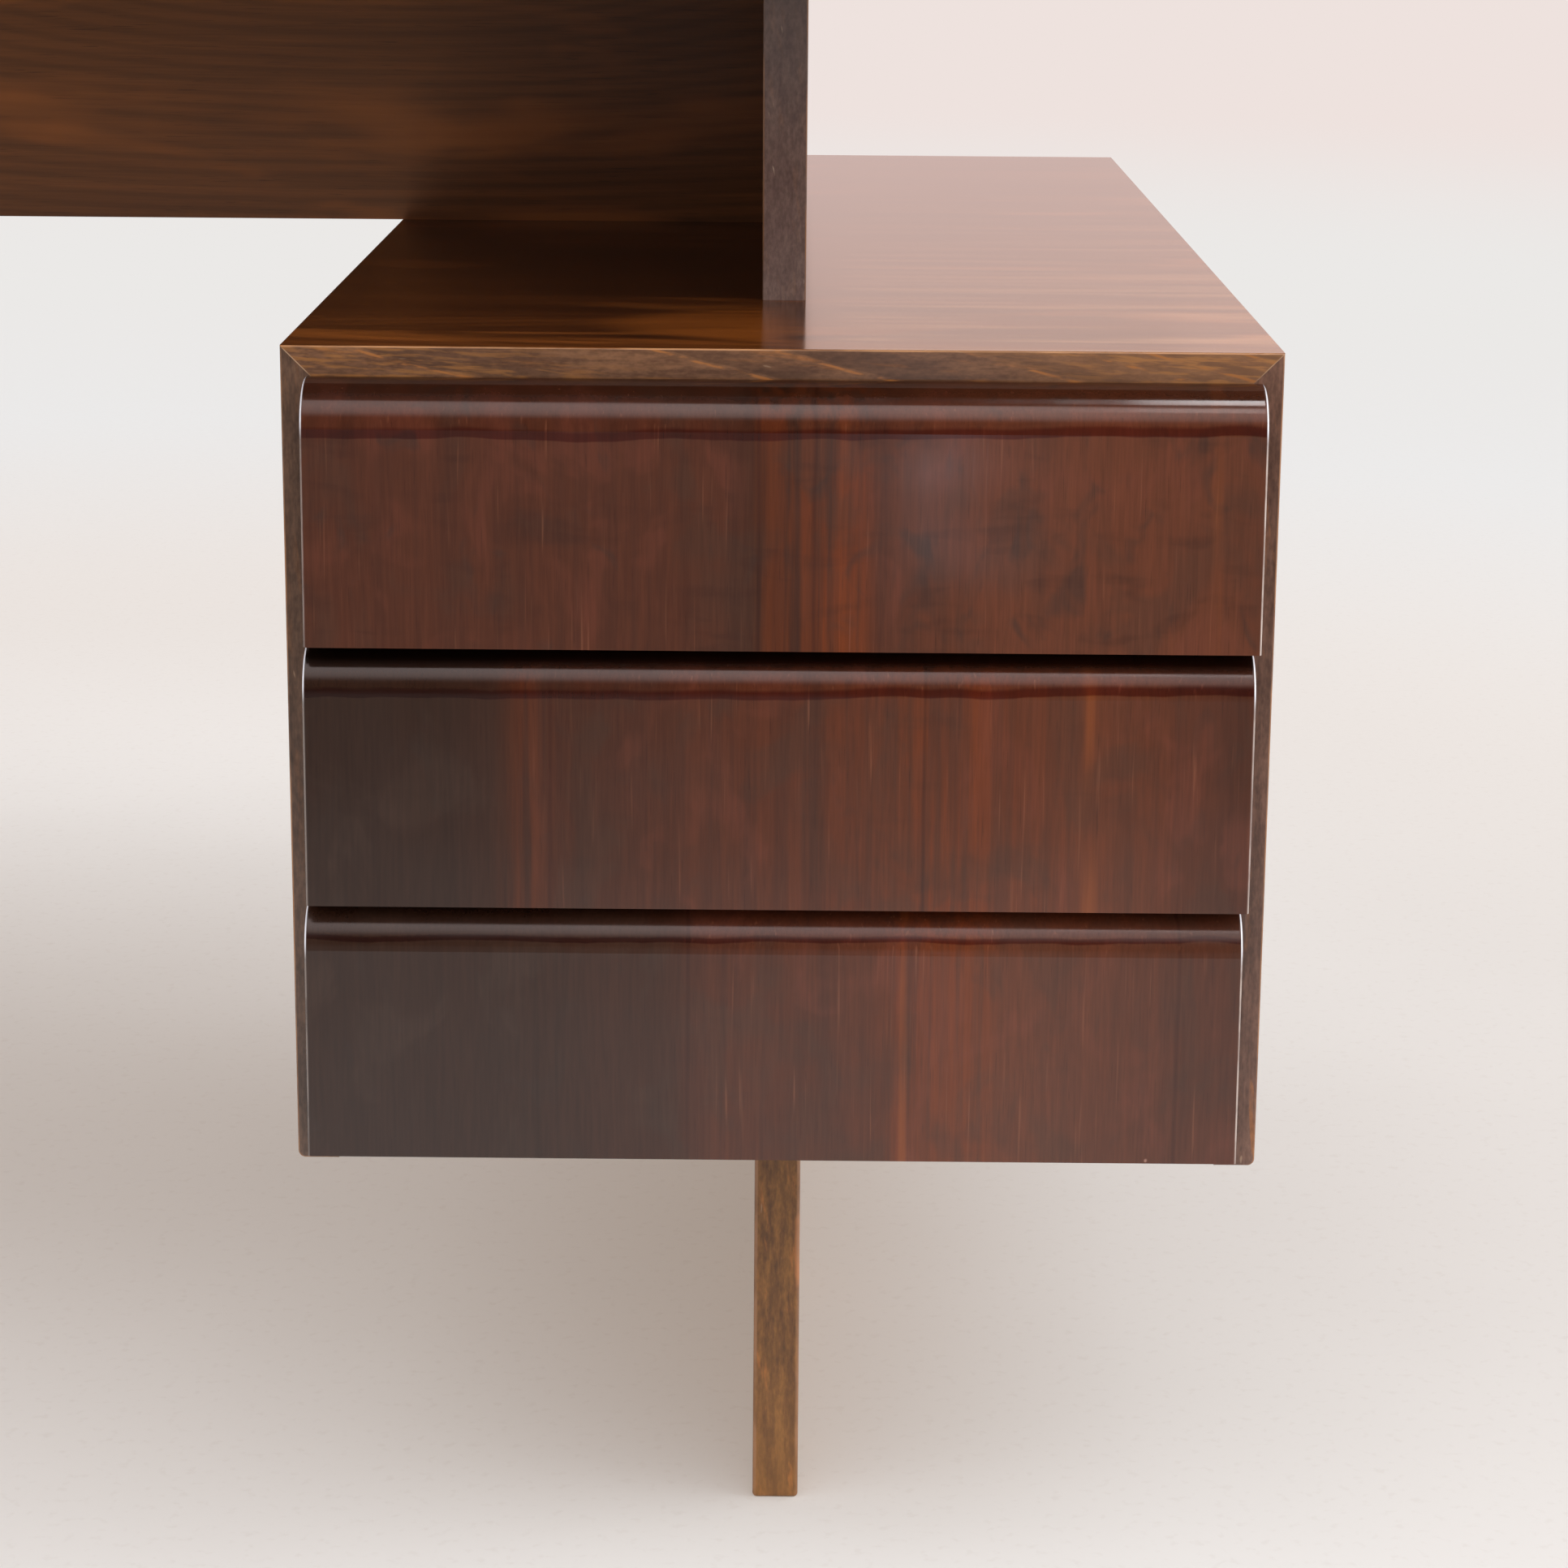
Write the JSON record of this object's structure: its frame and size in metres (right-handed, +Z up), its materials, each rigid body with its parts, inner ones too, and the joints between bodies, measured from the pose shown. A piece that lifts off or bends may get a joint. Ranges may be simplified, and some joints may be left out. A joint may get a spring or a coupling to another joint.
{
  "type": "writing desk",
  "caption": "Wooden writing desk: desktop on plank legs with an apron, and a hanging pedestal of lapped drawers with rounded finger-pull noses at the user's right.",
  "frame": {"origin": "on the floor, below the middle of the desktop", "axes": "+X to the right of the person who sits at the desk, +Y away from that person, +Z up"},
  "size_m": [1.6, 0.8809, 0.75],
  "materials": {
    "front_veneer": "red-brown figured veneer, upright grain, glossy lacquer",
    "carcase_wood": "dark brown stained wood, satin to glossy lacquer",
    "plank_wood": "brown stained wood, worn satin lacquer",
    "apron_veneer": "dark brown veneer, grain along its length, satin lacquer",
    "desktop_veneer": "dark brown veneer, grain along its length, glossy lacquer",
    "stained_lipping": "brown stained solid edging, satin lacquer",
    "drawer_hardwood": "pale hardwood, waxed",
    "plain_hardwood": "plain hardwood, unfinished",
    "plywood": "thin plywood, unfinished",
    "screws": "steel wood screws, dulled"
  },
  "bodies": {
    "desk": {"desktop_panel": "desktop_veneer", "desktop_lipping_front": "stained_lipping", "desktop_lipping_back": "stained_lipping", "desktop_lipping_left": "stained_lipping", "desktop_lipping_right": "stained_lipping", "right_plank_cleat": "plain_hardwood", "left_plank_cleat": "plain_hardwood", "apron_cleat": "plain_hardwood", "cleat_screws": "screws", "upper_right_plank": "plank_wood", "lower_right_leg": "plank_wood", "left_plank": "plank_wood", "apron": "apron_veneer", "plank_dowels": "plain_hardwood", "plank_screws": "screws", "apron_dowels": "plain_hardwood", "pedestal_top": "carcase_wood", "pedestal_left_side": "carcase_wood", "pedestal_right_side": "carcase_wood", "pedestal_bottom": "carcase_wood", "pedestal_back": "carcase_wood", "mitre_spline_left": "plywood", "mitre_spline_right": "plywood", "runner_1_left": "plain_hardwood", "runner_1_right": "plain_hardwood", "runner_2_left": "plain_hardwood", "runner_2_right": "plain_hardwood", "runner_3_left": "plain_hardwood", "runner_3_right": "plain_hardwood", "runner_screws": "screws"},
    "drawer_1": {"drawer_1_front": "front_veneer", "drawer_1_left_side": "drawer_hardwood", "drawer_1_right_side": "drawer_hardwood", "drawer_1_back": "drawer_hardwood", "drawer_1_bottom": "plywood", "drawer_1_screws": "screws"},
    "drawer_2": {"drawer_2_front": "front_veneer", "drawer_2_left_side": "drawer_hardwood", "drawer_2_right_side": "drawer_hardwood", "drawer_2_back": "drawer_hardwood", "drawer_2_bottom": "plywood", "drawer_2_screws": "screws"},
    "drawer_3": {"drawer_3_front": "front_veneer", "drawer_3_left_side": "drawer_hardwood", "drawer_3_right_side": "drawer_hardwood", "drawer_3_back": "drawer_hardwood", "drawer_3_bottom": "plywood", "drawer_3_screws": "screws"}
  },
  "joints": [
    {"name": "drawer_1_slide", "type": "slide", "parent": "desk", "child": "drawer_1", "axis": [0, -1, 0], "range_m": [0, 0.5]},
    {"name": "drawer_2_slide", "type": "slide", "parent": "desk", "child": "drawer_2", "axis": [0, -1, 0], "range_m": [0, 0.5]},
    {"name": "drawer_3_slide", "type": "slide", "parent": "desk", "child": "drawer_3", "axis": [0, -1, 0], "range_m": [0, 0.5]}
  ]
}
